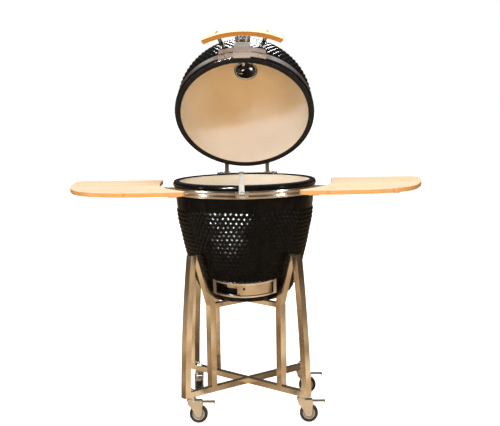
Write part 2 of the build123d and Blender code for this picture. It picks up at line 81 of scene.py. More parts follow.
def make_surface_grain():
    """Node group: a cloudy tone between two colours, and a grain that varies the roughness."""
    group = bpy.data.node_groups.new("surface_grain", "ShaderNodeTree")
    for side, kind, labels in (
        ("INPUT", "Vector", ("Stretch",)),
        ("INPUT", "Float", ("Cloud Scale", "Cloud Detail", "Grain Scale", "Grain Detail")),
        ("INPUT", "Color", ("Dark", "Light")),
        ("INPUT", "Float", ("Smoothest", "Roughest")),
        ("OUTPUT", "Color", ("Colour",)),
        ("OUTPUT", "Float", ("Roughness", "Cloud", "Grain")),
    ):
        for label in labels:
            group.interface.new_socket(name=label, in_out=side, socket_type="NodeSocket" + kind)
    given = add(group, "NodeGroupInput").outputs
    result = add(group, "NodeGroupOutput").inputs
    coords = add(group, "ShaderNodeTexCoord")
    mapping = add(group, "ShaderNodeMapping")
    group.links.new(coords.outputs["Object"], mapping.inputs["Vector"])
    group.links.new(given["Stretch"], mapping.inputs["Scale"])
    cloud = add(group, "ShaderNodeTexNoise")
    group.links.new(coords.outputs["Object"], cloud.inputs["Vector"])
    grain = add(group, "ShaderNodeTexNoise")
    group.links.new(mapping.outputs["Vector"], grain.inputs["Vector"])
    for texture, label in ((cloud, "Cloud"), (grain, "Grain")):
        group.links.new(given[label + " Scale"], texture.inputs["Scale"])
        group.links.new(given[label + " Detail"], texture.inputs["Detail"])
        group.links.new(texture.outputs["Fac"], result[label])
    tone = add(group, "ShaderNodeMapRange")
    tone.inputs["From Min"].default_value = ALL_DARK
    tone.inputs["From Max"].default_value = ALL_LIGHT
    group.links.new(cloud.outputs["Fac"], tone.inputs["Value"])
    blend = add(group, "ShaderNodeMix", data_type="RGBA")
    group.links.new(tone.outputs["Result"], blend.inputs["Factor"])
    group.links.new(given["Dark"], blend.inputs["A"])
    group.links.new(given["Light"], blend.inputs["B"])
    group.links.new(blend.outputs["Result"], result["Colour"])
    sheen = add(group, "ShaderNodeMapRange")
    group.links.new(grain.outputs["Fac"], sheen.inputs["Value"])
    group.links.new(given["Smoothest"], sheen.inputs["To Min"])
    group.links.new(given["Roughest"], sheen.inputs["To Max"])
    group.links.new(sheen.outputs["Result"], result["Roughness"])
    return group


surface_grain = make_surface_grain()


def grained(name, dark, light, rough, cloud, grain, stretch=(1, 1, 1)):
    """Material with the surface grain in its colour and roughness; also returns the grain node."""
    mat, tree, shader = new_material(name)
    node = add(tree, "ShaderNodeGroup", node_tree=surface_grain)
    for label, value in (
        ("Stretch", stretch), ("Dark", (*dark, 1)), ("Light", (*light, 1)),
        ("Smoothest", rough[0]), ("Roughest", rough[1]),
        ("Cloud Scale", cloud[0]), ("Cloud Detail", cloud[1]),
        ("Grain Scale", grain[0]), ("Grain Detail", grain[1]),
    ):
        node.inputs[label].default_value = value
    tree.links.new(node.outputs["Colour"], shader.inputs["Base Color"])
    tree.links.new(node.outputs["Roughness"], shader.inputs["Roughness"])
    return mat, tree, shader, node


def metal(name, dark, light, rough, scratch_scale, grain=0.1, strength=0.05):
    """Metal with fine scratches along one direction and a cloudy tone."""
    mat, tree, shader, node = grained(
        name, dark, light, (rough - grain / 2, rough + grain / 2), (9, 3), (60, 4), scratch_scale)
    shader.inputs["Metallic"].default_value = 1.0
    bump(tree, shader, node.outputs["Grain"], strength, GRAIN_DEPTH)
    return mat


SHARP = math.radians(40)           # edges sharper than this are rounded or shaded hard


def dress(names, mat, width=0.0, segments=2):
    """Give CAD nodes a material and, where asked, softly rounded edges."""
    for name in names:
        obj = nodes[name]
        obj.data.materials.clear()
        obj.data.materials.append(mat)
        if width > 0:
            edge = obj.modifiers.new("soft_edges", "BEVEL")
            edge.width = width
            edge.segments = segments
            edge.limit_method = "ANGLE"
            edge.angle_limit = SHARP


tube_steel = metal(
    "tube_steel", (0.62, 0.55, 0.44), (0.92, 0.86, 0.76), 0.15, (1, 1, 0.05), 0.10, 0.03)
dress(["leg_" + corner for corner in CORNERS], tube_steel, 0.0022, 3)
dress(["lower_cross", "upper_cross"], tube_steel, 0.0018, 3)

# ==== Casters ===============================================================================
# Bought-in swivel casters: zinc pressed forks, grey plastic hubs with a black rubber tread,
# and a pressed foot brake.  Each stem is held by a domed nut on top of the lower cross.
zinc = metal("zinc", (0.60, 0.59, 0.57), (0.80, 0.79, 0.77), 0.34, (1, 1, 1), 0.16, 0.08)
bright_steel = metal(
    "bright_steel", (0.66, 0.66, 0.65), (0.86, 0.86, 0.85), 0.14, (1, 0.1, 1), 0.08, 0.03)
dress(["caster_fork_" + corner for corner in CORNERS], zinc, 0.0006)
dress(["brake_pedal_" + corner for corner in CORNERS], zinc, 0.0008)
dress(["caster_stems"], bright_steel, 0.0006)


def plain(name, dark, light, rough, scale=40, strength=0.15, depth=GRAIN_DEPTH, shine=0.5):
    """Non-metal with a mottled tone, uneven sheen and a fine surface grain."""
    mat, tree, shader, node = grained(
        name, dark, light, (rough - 0.06, rough + 0.06), (scale, 4), (scale * 9, 3))
    bump(tree, shader, node.outputs["Grain"], strength, depth)
    shader.inputs["Specular IOR Level"].default_value = shine
    return mat


rubber = plain("tread_rubber", (0.012, 0.012, 0.012), (0.035, 0.034, 0.033), 0.6)
hub_plastic = plain("hub_plastic", (0.26, 0.27, 0.28), (0.36, 0.37, 0.38), 0.42)


MERGE = 1e-6                       # metres


def finish_mesh(name, bm, mats, smooth=True, angle=40):
    """Turn a bmesh into a scene object with outward faces and smooth shading by angle."""
    bmesh.ops.remove_doubles(bm, verts=bm.verts, dist=MERGE)
    bmesh.ops.recalc_face_normals(bm, faces=bm.faces)
    mesh = bpy.data.meshes.new(name)
    bm.to_mesh(mesh)
    bm.free()
    for mat in mats:
        mesh.materials.append(mat)
    obj = bpy.data.objects.new(name, mesh)
    bpy.context.scene.collection.objects.link(obj)
    if smooth:
        mesh.shade_smooth()
        mesh.set_sharp_from_angle(angle=math.radians(angle))
    return obj


def lathe(bm, outline, columns, place=Matrix(), slot_of=None, push=None, keep=None):
    """Spin a (radius, height) outline about Z, then raise, colour or cut it row by row."""
    row_of = bm.verts.layers.int.get("row") or bm.verts.layers.int.new("row")
    old_verts, old_faces, old_edges = set(bm.verts), set(bm.faces), set(bm.edges)
    profile = [bm.verts.new((radius, 0, height)) for radius, height in outline]
    for row, vert in enumerate(profile):
        vert[row_of] = row
    edges = [bm.edges.new(pair) for pair in zip(profile, profile[1:])]
    bmesh.ops.spin(bm, geom=profile + edges, cent=(0, 0, 0), axis=(0, 0, 1),
                   angle=math.pi / 2, steps=columns // 4)
    quarter = [vert for vert in bm.verts if vert not in old_verts]
    quarter += [edge for edge in bm.edges if edge not in old_edges]
    quarter += [face for face in bm.faces if face not in old_faces]
    for turn in (90, 180, 270):
        copied = bmesh.ops.duplicate(bm, geom=quarter)["geom"]
        corners = [item for item in copied if isinstance(item, bmesh.types.BMVert)]
        bmesh.ops.rotate(bm, verts=corners, cent=(0, 0, 0),
                         matrix=Matrix.Rotation(math.radians(turn), 3, "Z"))
    spun = [face for face in bm.faces if face not in old_faces]
    dropped = []
    for face in spun:
        row = min(vert[row_of] for vert in face.verts)
        if slot_of is not None:
            face.material_index = slot_of(row)
        if keep is not None:
            middle = face.calc_center_median()
            turn = math.atan2(middle.y, middle.x) % (2 * math.pi)
            if not keep(row, int(turn / (2 * math.pi) * columns)):
                dropped.append(face)
    bmesh.ops.delete(bm, geom=dropped, context="FACES")
    fresh = [vert for vert in bm.verts if vert not in old_verts]
    if push is not None:
        for vert in fresh:
            turn = math.atan2(vert.co.y, vert.co.x) % (2 * math.pi)
            column = round(turn / (2 * math.pi) * columns) % columns
            reach = math.hypot(vert.co.x, vert.co.y)
            radius, height = push(vert[row_of], column, reach, vert.co.z)
            vert.co = (radius * math.cos(turn), radius * math.sin(turn), height)
    bmesh.ops.transform(bm, matrix=place, verts=fresh)


MM = Matrix.Scale(0.001, 4)        # outlines are in millimetres, (radius, height)
TYRE = [
    (22.0, -8.5), (26.0, -9.5), (29.5, -10.4), (31.6, -9.0), (32.7, -6.5), (33.0, -3.0),
    (33.0, 3.0), (32.7, 6.5), (31.6, 9.0), (29.5, 10.4), (26.0, 9.5), (22.0, 8.5),
]
HUB = [
    (4.2, -8.0), (9.0, -8.0), (9.6, -6.2), (11.0, -5.4), (17.0, -5.4), (18.4, -6.4),
    (19.0, -8.8), (21.8, -9.0), (22.0, -8.5), (22.0, 8.5), (21.8, 9.0), (19.0, 8.8),
    (18.4, 6.4), (17.0, 5.4), (11.0, 5.4), (9.6, 6.2), (9.0, 8.0), (4.2, 8.0), (4.2, -8.0),
]
WHEEL_COLUMNS = 56
SPOKES = 6
SPOKE_AT, SPOKE_SIDE = 13.5, 6.0   # centre of a rib, mm
SPOKE_SIZE = (9.5, 1.8, 2.2)
for corner in CORNERS:
    low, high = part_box("caster_wheel_" + corner)
    centre = (Vector(low) + Vector(high)) / 2
    sideways = (high[0] - low[0]) < (high[1] - low[1])
    lie = Matrix.Rotation(math.radians(90), 4, "Y" if sideways else "X")
    place = Matrix.Translation(centre) @ lie @ MM
    bm = bmesh.new()
    lathe(bm, TYRE, WHEEL_COLUMNS, place)
    lathe(bm, HUB, WHEEL_COLUMNS, place, slot_of=lambda row: 1)
    for spoke in range(SPOKES):
        turn = place @ Matrix.Rotation(2 * math.pi * spoke / SPOKES, 4, "Z")
        for side in (-1, 1):
            rib = bmesh.ops.create_cube(bm, size=1.0)["verts"]
            shape = (turn @ Matrix.Translation((SPOKE_AT, 0, side * SPOKE_SIDE))
                     @ Matrix.Diagonal((*SPOKE_SIZE, 1)))
            bmesh.ops.transform(bm, matrix=shape, verts=rib)
            for face in {f for v in rib for f in v.link_faces}:
                face.material_index = 1
    wheel = finish_mesh("wheel_" + corner, bm, [rubber, hub_plastic], angle=35)
    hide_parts("caster_wheel_" + corner)
    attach(wheel, "wheel_" + corner)

# ==== Ceramic bowl ==========================================================================
# Slip-cast heat-proof ceramic about 25 mm thick, black glossy glaze outside with staggered
# raised studs, left cream and unglazed inside.  It rests in the stand on four rubber pads.
STUDS_ROUND = 76                   # studs in one ring
STUD_COLUMNS = 6                   # mesh columns for each stud
STUD_ROWS = 6                      # mesh rows for each ring of studs
STUD_PITCH = 15.6                  # distance between rings, mm
STUD_H = 3.4                       # how far a stud stands out, mm
STUD_R = 7.6                       # radius of a stud, mm
STUD_FILL = 0.46                   # largest stud radius as a part of the spacing round
STUD_FADE = 1.12                   # where a stud has run out, in stud radii
DOME_POWER, DOME_FLAT = 2.6, 1.34  # roundness of a stud's cap
WALL_COLUMNS = STUDS_ROUND * STUD_COLUMNS

glaze, glaze_tree, glaze_shader, glaze_grain = grained(
    "black_glaze", (0.002, 0.002, 0.0025), (0.005, 0.005, 0.005), (0.07, 0.17), (35, 2), (420, 2))
bump(glaze_tree, glaze_shader, glaze_grain.outputs["Cloud"], 0.10, 0.0006)
glaze_shader.inputs["Specular IOR Level"].default_value = 0.07

cream = plain(
    "cream_ceramic", (0.70, 0.61, 0.48), (0.77, 0.69, 0.56), 0.62, 7, 0.12, 0.0004, 0.04)


def smooth_line(points, step):
    """Catmull-Rom curve through (radius, height) points, cut into even steps."""
    ends = [points[0]] + list(points) + [points[-1]]
    fine = []
    for i in range(1, len(ends) - 2):
        before, start, stop, after = (Vector(p) for p in ends[i - 1:i + 3])
        for k in range(12):
            t = k / 12
            fine.append(0.5 * (
                2 * start + (stop - before) * t
                + (2 * before - 5 * start + 4 * stop - after) * t * t
                + (3 * start - before - 3 * stop + after) * t ** 3
            ))
    fine.append(Vector(points[-1]))
    length = sum((b - a).length for a, b in zip(fine, fine[1:]))
    count = max(1, round(length / step))
    even = [fine[0]]
    walked = 0.0
    for a, b in zip(fine, fine[1:]):
        part = (b - a).length
        while len(even) < count and walked + part >= len(even) * length / count:
            even.append(a.lerp(b, (len(even) * length / count - walked) / part))
        walked += part
    even.append(fine[-1])
    return [(p.x, p.y) for p in even]


def studded_wall(line, smooth_head, smooth_tail):
    """Push function that raises staggered studs along a wall given as an even line."""
    outward = []
    for i, (radius, height) in enumerate(line):
        a = line[max(i - 1, 0)]
        b = line[min(i + 1, len(line) - 1)]
        run = Vector((b[0] - a[0], b[1] - a[1])).normalized()
        outward.append((-run.y, run.x) if -run.y > 0 or run.x > 0 else (run.y, -run.x))
    cell = STUD_PITCH / STUD_ROWS

    def push(row, column, radius, height):
        along = row - smooth_head
        if along < 0 or row > len(line) - 1 - smooth_tail:
            return radius, height
        ring = int(along // STUD_ROWS)
        shift = STUD_COLUMNS / 2 if ring % 2 else 0
        dx = ((column - shift + STUD_COLUMNS / 2) % STUD_COLUMNS) - STUD_COLUMNS / 2
        dy = along % STUD_ROWS - STUD_ROWS / 2
        pitch = 2 * math.pi * radius / STUDS_ROUND
        size = min(STUD_R, pitch * STUD_FILL)
        far = math.hypot(dx * pitch / STUD_COLUMNS, dy * cell) / size
        if far >= STUD_FADE:
            return radius, height
        cap = max(0.0, 1 - far ** DOME_POWER / DOME_FLAT)
        lift = STUD_H * (size / STUD_R) ** 0.5 * cap
        nx, ny = outward[row]
        return radius + nx * lift, height + ny * lift

    return push


bowl_wall = smooth_line([
    (249.3, 772), (243.5, 718), (234.5, 677), (225.5, 633), (214.5, 588),
    (199.5, 535), (182, 490), (160, 450), (128, 425.5),
], STUD_PITCH / STUD_ROWS)
bowl_foot = [(0, 425.5), (60, 425.2), (110, 425.2)]
bowl_lip = [
    (251.5, 790), (252.8, 806), (253, 811.5), (255.4, 812), (255.4, 825), (255.4, 839.6),
    (256.5, 840), (259.8, 840.4), (261.5, 842), (262, 845), (262, 851), (261.2, 854), (259, 855.7),
]
bowl_inside = [
    (243, 855.8), (240.8, 854.6), (240, 852), (238.5, 846), (232, 812), (224, 772), (213, 700),
    (203, 640), (189, 588), (172, 535), (154, 490), (138, 462), (120, 452), (60, 451), (0, 451),
]
bowl_outline = bowl_foot + bowl_wall[::-1] + bowl_lip + bowl_inside
wall_start = len(bowl_foot)
wall_end = wall_start + len(bowl_wall)
lip_row = wall_end + len(bowl_lip)
PLAIN_ROWS_TOP, PLAIN_ROWS_FOOT = 5, 8
down_wall = studded_wall(bowl_wall, PLAIN_ROWS_TOP, PLAIN_ROWS_FOOT)


def bowl_push(row, column, radius, height):
    """Raise the studs, counting rows down from the top of the wall."""
    if wall_start <= row < wall_end:
        return down_wall(wall_end - 1 - row, column, radius, height)
    return radius, height


DRAFT_R = 0.192                    # radius of the curved frame
DRAFT_Z = 0.4765
DRAFT_LEAN = math.radians(20)
draft_place = (
    Matrix.Translation((0, -DRAFT_R, DRAFT_Z)) @ Matrix.Rotation(DRAFT_LEAN, 4, "X")
    @ Matrix.Translation((0, DRAFT_R, 0))
)
draft_back = draft_place.inverted()
POCKET_SIDE, POCKET_HALF = 34.0, 0.0265        # recess for the frame: degrees, metres
HOLE_LEFT, HOLE_RIGHT = -25, 7                 # air hole, degrees from the front
HOLE_LOW, HOLE_HIGH = -0.016, 0.018
DRAFT_TOP = 0.56                               # the wall above this is left whole


def bowl_keep(row, column):
    """False where the draft opening goes through the wall."""
    (radius, height), (next_radius, next_height) = bowl_outline[row:row + 2]
    radius = (radius + next_radius) / 2000
    height = (height + next_height) / 2000
    turn = 2 * math.pi * (column + 0.5) / WALL_COLUMNS
    spot = draft_back @ Vector((radius * math.cos(turn), radius * math.sin(turn), height))
    if spot.y > 0 or height > DRAFT_TOP:
        return True
    side = math.degrees(math.atan2(spot.x, -spot.y))
    if row < lip_row:
        return abs(side) > POCKET_SIDE or abs(spot.z) > POCKET_HALF
    return not (HOLE_LEFT < side < HOLE_RIGHT and HOLE_LOW < spot.z < HOLE_HIGH)


bm = bmesh.new()
lathe(bm, bowl_outline, WALL_COLUMNS, MM, slot_of=lambda row: 1 if row >= lip_row else 0,
      push=bowl_push, keep=bowl_keep)


def curved_sheet(bm, start, stop, left, right, place):
    """Edge between two (radius, height) points swept round Z, in degrees from the front."""
    old_verts = set(bm.verts)
    ends = [bm.verts.new((radius, 0, height)) for radius, height in (start, stop)]
    bmesh.ops.rotate(bm, verts=ends, cent=(0, 0, 0),
                     matrix=Matrix.Rotation(math.radians(left - 90), 3, "Z"))
    bmesh.ops.spin(bm, geom=ends + [bm.edges.new(ends)], cent=(0, 0, 0), axis=(0, 0, 1),
                   angle=math.radians(right - left), steps=16)
    fresh = [vert for vert in bm.verts if vert not in old_verts]
    bmesh.ops.transform(bm, matrix=place, verts=fresh)


POCKET_R = 0.1778                  # floor of the recess behind the frame
REVEAL_R = 0.150                   # inner end of the air hole's sides
SHEET_SIDE, SHEET_HALF = 35.5, 0.028
for left, right, low, high in (
    (-SHEET_SIDE, HOLE_LEFT, -SHEET_HALF, SHEET_HALF),
    (HOLE_RIGHT, SHEET_SIDE, -SHEET_HALF, SHEET_HALF),
    (HOLE_LEFT, HOLE_RIGHT, -SHEET_HALF, HOLE_LOW),
    (HOLE_LEFT, HOLE_RIGHT, HOLE_HIGH, SHEET_HALF),
):
    curved_sheet(bm, (POCKET_R, low), (POCKET_R, high), left, right, draft_place)
for level in (HOLE_LOW, HOLE_HIGH):
    curved_sheet(bm, (POCKET_R, level), (REVEAL_R, level), HOLE_LEFT, HOLE_RIGHT, draft_place)
for side in (HOLE_LEFT, HOLE_RIGHT):
    turn = Matrix.Rotation(math.radians(side - 90), 4, "Z")
    bm.faces.new([bm.verts.new(draft_place @ turn @ Vector((radius, 0, level))) for radius, level in (
        (POCKET_R, HOLE_LOW), (POCKET_R, HOLE_HIGH), (REVEAL_R, HOLE_HIGH), (REVEAL_R, HOLE_LOW))])
bowl = finish_mesh("bowl", bm, [glaze, cream], angle=50)
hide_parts("base_bowl")
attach(bowl, "cart_and_bowl")

pad_rubber = plain("pad_rubber", (0.02, 0.02, 0.02), (0.04, 0.04, 0.04), 0.65)
dress(["bowl_rest_pads"], pad_rubber)

# ==== Rim gasket and band of the bowl =======================================================
# Dark heat-proof felt glued to the lip, and a brushed stainless strip clamped round the wall
# in a shallow groove, which carries the hinge, the latch and the shelf brackets.


def object_coords(tree, scale=(1, 1, 1)):
    """Object coordinates through a mapping node."""
    coords = add(tree, "ShaderNodeTexCoord")
    mapping = add(tree, "ShaderNodeMapping")
    mapping.inputs["Scale"].default_value = scale
    tree.links.new(coords.outputs["Object"], mapping.inputs["Vector"])
    return mapping.outputs["Vector"]


def noise(tree, vector, scale, detail=3.0, rough=0.5):
    """Noise texture fed by a vector; returns its value."""
    node = add(tree, "ShaderNodeTexNoise")
    node.inputs["Scale"].default_value = scale
    node.inputs["Detail"].default_value = detail
    node.inputs["Roughness"].default_value = rough
    tree.links.new(vector, node.inputs["Vector"])
    return node.outputs["Fac"]


def ramp(tree, value, stops):
    """Colour ramp with (position, colour) stops."""
    node = add(tree, "ShaderNodeValToRGB")
    band = node.color_ramp
    while len(band.elements) < len(stops):
        band.elements.new(0.5)
    for element, (position, colour) in zip(band.elements, stops):
        element.position = position
        element.color = (*colour, 1.0) if len(colour) == 3 else colour
    tree.links.new(value, node.inputs["Fac"])
    return node.outputs["Color"]


def spread(tree, value, low, high):
    """Map a 0 to 1 value onto a range."""
    node = add(tree, "ShaderNodeMapRange")
    node.inputs["To Min"].default_value = low
    node.inputs["To Max"].default_value = high
    tree.links.new(value, node.inputs["Value"])
    return node.outputs["Result"]


felt, felt_tree, felt_shader = new_material("rim_felt")
fibres = noise(felt_tree, object_coords(felt_tree), 900, 5, 0.7)
matted = noise(felt_tree, object_coords(felt_tree), 60, 4)
felt_tree.links.new(
    ramp(felt_tree, matted, [(0.25, (0.008, 0.008, 0.009)), (0.8, (0.024, 0.024, 0.026))]),
    felt_shader.inputs["Base Color"],
)
felt_tree.links.new(spread(felt_tree, fibres, 0.82, 0.98), felt_shader.inputs["Roughness"])
felt_shader.inputs["Specular IOR Level"].default_value = 0.15
bump(felt_tree, felt_shader, fibres, 0.7, 0.0012)


def ring_piece(name, outline, place, mat, wobble=0.0):
    """Closed ring spun from a (radius, height) outline, with a slightly uneven edge if asked."""
    rng = random.Random(11)
    waves = [(rng.randint(3, 9), rng.random() * 6.28) for _ in range(3)] + [(61, 0.4), (97, 2.0)]

    def push(row, column, radius, height):
        turn = 2 * math.pi * column / RING_COLUMNS
        sway = sum(math.sin(n * turn + phase) for n, phase in waves) * wobble / len(waves)
        return radius + sway, height

    bm = bmesh.new()
    lathe(bm, outline + outline[:1], RING_COLUMNS, place @ MM, push=push)
    return finish_mesh(name, bm, [mat], angle=35)


FELT_OUTLINE = [
    (240.4, 0.3), (239.9, 1.6), (240.6, 3.2), (242.2, 3.9), (250, 4.0), (256.6, 3.9), (258.6, 3.1),
    (259.1, 1.8), (258.8, 0.3), (256, 0), (244, 0),
]
RING_COLUMNS = 240
FELT_Z, STRAP_Z = 0.856, 0.812
FELT_SWAY = 0.5                    # unevenness of the felt's edge, mm
base_felt = ring_piece("base_felt", FELT_OUTLINE, Matrix.Translation((0, 0, FELT_Z)), felt, FELT_SWAY)
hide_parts("base_gasket")
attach(base_felt, "cart_and_bowl")

band_steel = metal(
    "band_steel", (0.58, 0.56, 0.53), (0.80, 0.78, 0.75), 0.24, (0.05, 0.05, 1), 0.12, 0.05)
BAND_OUTLINE = [
    (255.5, 0.2), (257.4, 0.2), (258.0, 0.9), (258.0, 4.2), (258.5, 5.4), (258.5, 7.2),
    (258.0, 8.4), (258.0, 19.6), (258.5, 20.8), (258.5, 22.6), (258.0, 23.8), (258.0, 27.1),
    (257.4, 27.8), (255.5, 27.8),
]
base_strap = ring_piece("base_strap", BAND_OUTLINE, Matrix.Translation((0, 0, STRAP_Z)), band_steel)
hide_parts("base_band")
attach(base_strap, "cart_and_bowl")

# ==== Fire parts ============================================================================
# Cream fire-clay pot and ring standing inside the bowl, a coated cast-iron charcoal grate on
# the pot's ledge and a round rod grid on top of the ring.
# The clay is coloured darker and browner than its real cream: painted shade for the inside of the
# bowl.
fire_clay = plain("fire_clay", (0.34, 0.26, 0.19), (0.48, 0.39, 0.30), 0.8, 12, 0.3, 0.0008)
dress(["firebox", "fire_ring"], fire_clay, 0.003)
cast_iron = plain("cast_iron", (0.022, 0.022, 0.023), (0.05, 0.049, 0.048), 0.55, 55, 0.5, 0.0008)
dress(["charcoal_grate"], cast_iron)
dress(["cooking_grid"], bright_steel)

# ==== Draft door ============================================================================
# Bent stainless frame let into the front of the bowl, with a solid door and a slotted spark
# screen that slide round in its two tracks.
draft_steel = metal(
    "draft_steel", (0.36, 0.31, 0.26), (0.60, 0.53, 0.46), 0.18, (0.2, 0.2, 1), 0.10, 0.04)
dress(["draft_frame"], band_steel, 0.0010)
dress(["draft_door", "draft_screen"], draft_steel, 0.0004)

# ==== Latch on the bowl =====================================================================
# Upright stainless lever on a small bracket riveted to the band; its roller tip hooks over the
# catch plate when the lid is shut.
dress(["latch_bracket"], band_steel, 0.0005)
dress(["latch_lever"], bright_steel, 0.0012, 3)
dress(["latch_pin", "base_bolts"], bright_steel, 0.0003)

# ==== Rear hinge ============================================================================
# Two pressed steel arms under the lid turn on one long pin held in a bracket on the band.
# Bright coil springs round the pin's ends take most of the lid's weight.
dress(["hinge_bracket", "hinge_arms"], band_steel, 0.0008)
dress(["hinge_pin"], bright_steel, 0.0005)


STEPS_PER_TURN = 28


def coil(bm, axis_at, start_x, end_x, turns, coil_r, wire_r):
    """Round-wire coil about a line along X, with closed ends."""
    steps = turns * STEPS_PER_TURN
    wire = bmesh.ops.create_circle(bm, cap_ends=True, segments=10, radius=wire_r)["verts"]
    lie = Matrix.Translation(axis_at + Vector((start_x, coil_r, 0)))
    bmesh.ops.transform(bm, matrix=lie, verts=wire)
    faces = list({face for vert in wire for face in vert.link_faces})
    edges = list({edge for vert in wire for edge in vert.link_edges})
    bmesh.ops.spin(bm, geom=wire + edges + faces, cent=axis_at, axis=(1, 0, 0),
                   angle=2 * math.pi * turns, steps=steps, dvec=((end_x - start_x) / steps, 0, 0))


PIVOT = Vector((0, 0.292, 0.854))  # axis of the lid's hinge pin
SPRING_INNER, SPRING_OUTER = 0.0938, 0.1092
SPRING_TURNS, SPRING_R, SPRING_WIRE_R = 6, 0.0074, 0.00125
bm = bmesh.new()
for side in (-1, 1):
    coil(bm, PIVOT, side * SPRING_INNER, side * SPRING_OUTER, SPRING_TURNS, SPRING_R, SPRING_WIRE_R)
springs = finish_mesh("springs", bm, [bright_steel])
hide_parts("hinge_springs")
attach(springs, "cart_and_bowl")

# ==== Folding side shelves ==================================================================
# Glued-up bamboo boards, 15 mm thick with eased edges and an oiled finish, screwed to steel
# arms that fold down on brackets bolted to the band.


STRIPS_PER_METRE = 46.0
KNUCKLES_PER_METRE = 4.2
KNUCKLE_TONE = (0.55, 0.38, 0.22, 1)


def bamboo(name, pale, deep, side_shade_tone):
    """Laminated bamboo along X: strips with their own tone, growth rings and fine fibres, with
    painted shade that darkens every face not facing up.
    """
    mat, tree, shader = new_material(name)

    def sum_of(operation, value, *numbers):
        """Math node on a linked value; returns the node."""
        node = add(tree, "ShaderNodeMath", operation=operation)
        tree.links.new(value, node.inputs[0])
        for socket, number in zip(node.inputs[1:], numbers):
            socket.default_value = number
        return node

    def layer(base, factor, tone, blend_type="MULTIPLY"):
        """Blend a tone, plain or linked, over a base colour."""
        node = add(tree, "ShaderNodeMix", data_type="RGBA", blend_type=blend_type)
        for label, value in (("Factor", factor), ("A", base), ("B", tone)):
            if isinstance(value, bpy.types.NodeSocket):
                tree.links.new(value, node.inputs[label])
            else:
                node.inputs[label].default_value = value
        return node.outputs["Result"]

    coords = add(tree, "ShaderNodeTexCoord")
    split = add(tree, "ShaderNodeSeparateXYZ")
    tree.links.new(coords.outputs["Object"], split.inputs["Vector"])
    strips = sum_of("MULTIPLY", split.outputs["Y"], STRIPS_PER_METRE)
    strip_number = sum_of("FLOOR", strips.outputs[0])
    tone = add(tree, "ShaderNodeTexWhiteNoise", noise_dimensions="1D")
    tree.links.new(strip_number.outputs[0], tone.inputs["W"])
    place = sum_of("MULTIPLY_ADD", split.outputs["X"], KNUCKLES_PER_METRE)
    shift = sum_of("MULTIPLY", tone.outputs["Value"], 9.0)
    tree.links.new(shift.outputs[0], place.inputs[2])
    cut = sum_of("FRACT", place.outputs[0])
    knuckle = ramp(tree, cut.outputs[0], [
        (0.0, (0, 0, 0)), (0.47, (0, 0, 0)), (0.5, (1, 1, 1)), (0.53, (0, 0, 0))])
    fibre = noise(tree, object_coords(tree, (3, 70, 70)), 12, 5, 0.6)
    blotch = noise(tree, object_coords(tree), 5, 2)
    facing = add(tree, "ShaderNodeSeparateXYZ")
    tree.links.new(coords.outputs["Normal"], facing.inputs["Vector"])
    # Painted shade: faces that do not face up, the sides and undersides, are multiplied by the darker
    # side tone.
    shade_on_sides = ramp(tree, facing.outputs["Z"], [(0.25, (1, 1, 1)), (0.6, (0, 0, 0))])
    fibre_tone = ramp(tree, fibre, [(0.3, (0.72, 0.62, 0.50)), (0.62, (1, 1, 1))])
    wood = layer((*pale, 1), spread(tree, tone.outputs["Value"], 0.05, 0.75), (*deep, 1), "MIX")
    wood = layer(wood, 0.55, fibre_tone)
    wood = layer(wood, spread(tree, knuckle, 0.0, 0.35), KNUCKLE_TONE)
    wood = layer(wood, shade_on_sides, (*side_shade_tone, 1))
    tree.links.new(wood, shader.inputs["Base Color"])
    tree.links.new(spread(tree, blotch, 0.32, 0.46), shader.inputs["Roughness"])
    bump(tree, shader, fibre, 0.12, 0.0004)
    return mat


# The third colour is the painted shade on the boards' sides and undersides.
board_bamboo = bamboo(
    "board_bamboo", (0.90, 0.72, 0.52), (0.82, 0.60, 0.38), (0.76, 0.54, 0.29))
dress(["shelf_left", "shelf_right"], board_bamboo, 0.0028, 4)
for side in ("left", "right"):
    dress(["shelf_arms_" + side, "shelf_bracket_" + side], band_steel, 0.0006)

# ==== Dome ==================================================================================
# Same glazed ceramic as the bowl, studded above a plain band, cream inside, with a round
# chimney hole at the crown.  Built shut and then leaned back on the hinge.
OPEN_ANGLE = math.radians(53)
LEAN = (Matrix.Translation(PIVOT) @ Matrix.Rotation(-OPEN_ANGLE, 4, "X")
        @ Matrix.Translation(-PIVOT))
DOME_Z = 0.8644                    # foot of the shut lid
dome_place = LEAN @ Matrix.Translation((0, 0, DOME_Z))


def egg_curve(radius, base, rise, power, stop, steps=24):
    """Points up an egg-shaped wall from its widest ring to a radius near the crown."""
    last = math.acos((stop / radius) ** (power / 2))
    points = []
    for step in range(steps + 1):
        turn = last * step / steps
        points.append((radius * math.cos(turn) ** (2 / power),
                       base + rise * math.sin(turn) ** (2 / power)))
    return points


OUTSIDE = (252, 60, 240, 1.9)      # radius, base, rise and power of the two walls, mm
INSIDE = (233, 50, 222, 1.9)
dome_lip = [
    (240.6, 10), (240, 3), (241, 0.6), (243, 0), (259, 0), (261.2, 0.9), (262, 3.2), (262, 12),
    (261.4, 14.6), (259.4, 15.8), (256.5, 16), (255.5, 16.2), (255.5, 30), (255.5, 43.8),
    (254.5, 44.2), (253, 46), (252.2, 54),
]
dome_wall = smooth_line(egg_curve(*OUTSIDE, 92), STUD_PITCH / STUD_ROWS)
dome_crown = egg_curve(*OUTSIDE, 66)[-3:] + [
    (63, 290.6), (47, 290.9), (45.4, 290.4), (45, 289), (45, 268.5)]
dome_inside = ([(45.6, 266.8), (47, 266.2)] + egg_curve(*INSIDE, 50)[::-1]
               + [(236, 30), (240.6, 10)])
dome_outline = dome_lip + dome_wall + dome_crown + dome_inside
dome_start = len(dome_lip)
dome_end = dome_start + len(dome_wall)
chimney_row = dome_end + len(dome_crown)
MOUTH_ROWS = 2                     # cream rows just inside the lip
up_wall = studded_wall(dome_wall, 0, 0)


def dome_push(row, column, radius, height):
    """Raise the studs, counting rows up from the foot of the wall."""
    if dome_start <= row < dome_end:
        return up_wall(row - dome_start, column, radius, height)
    return radius, height


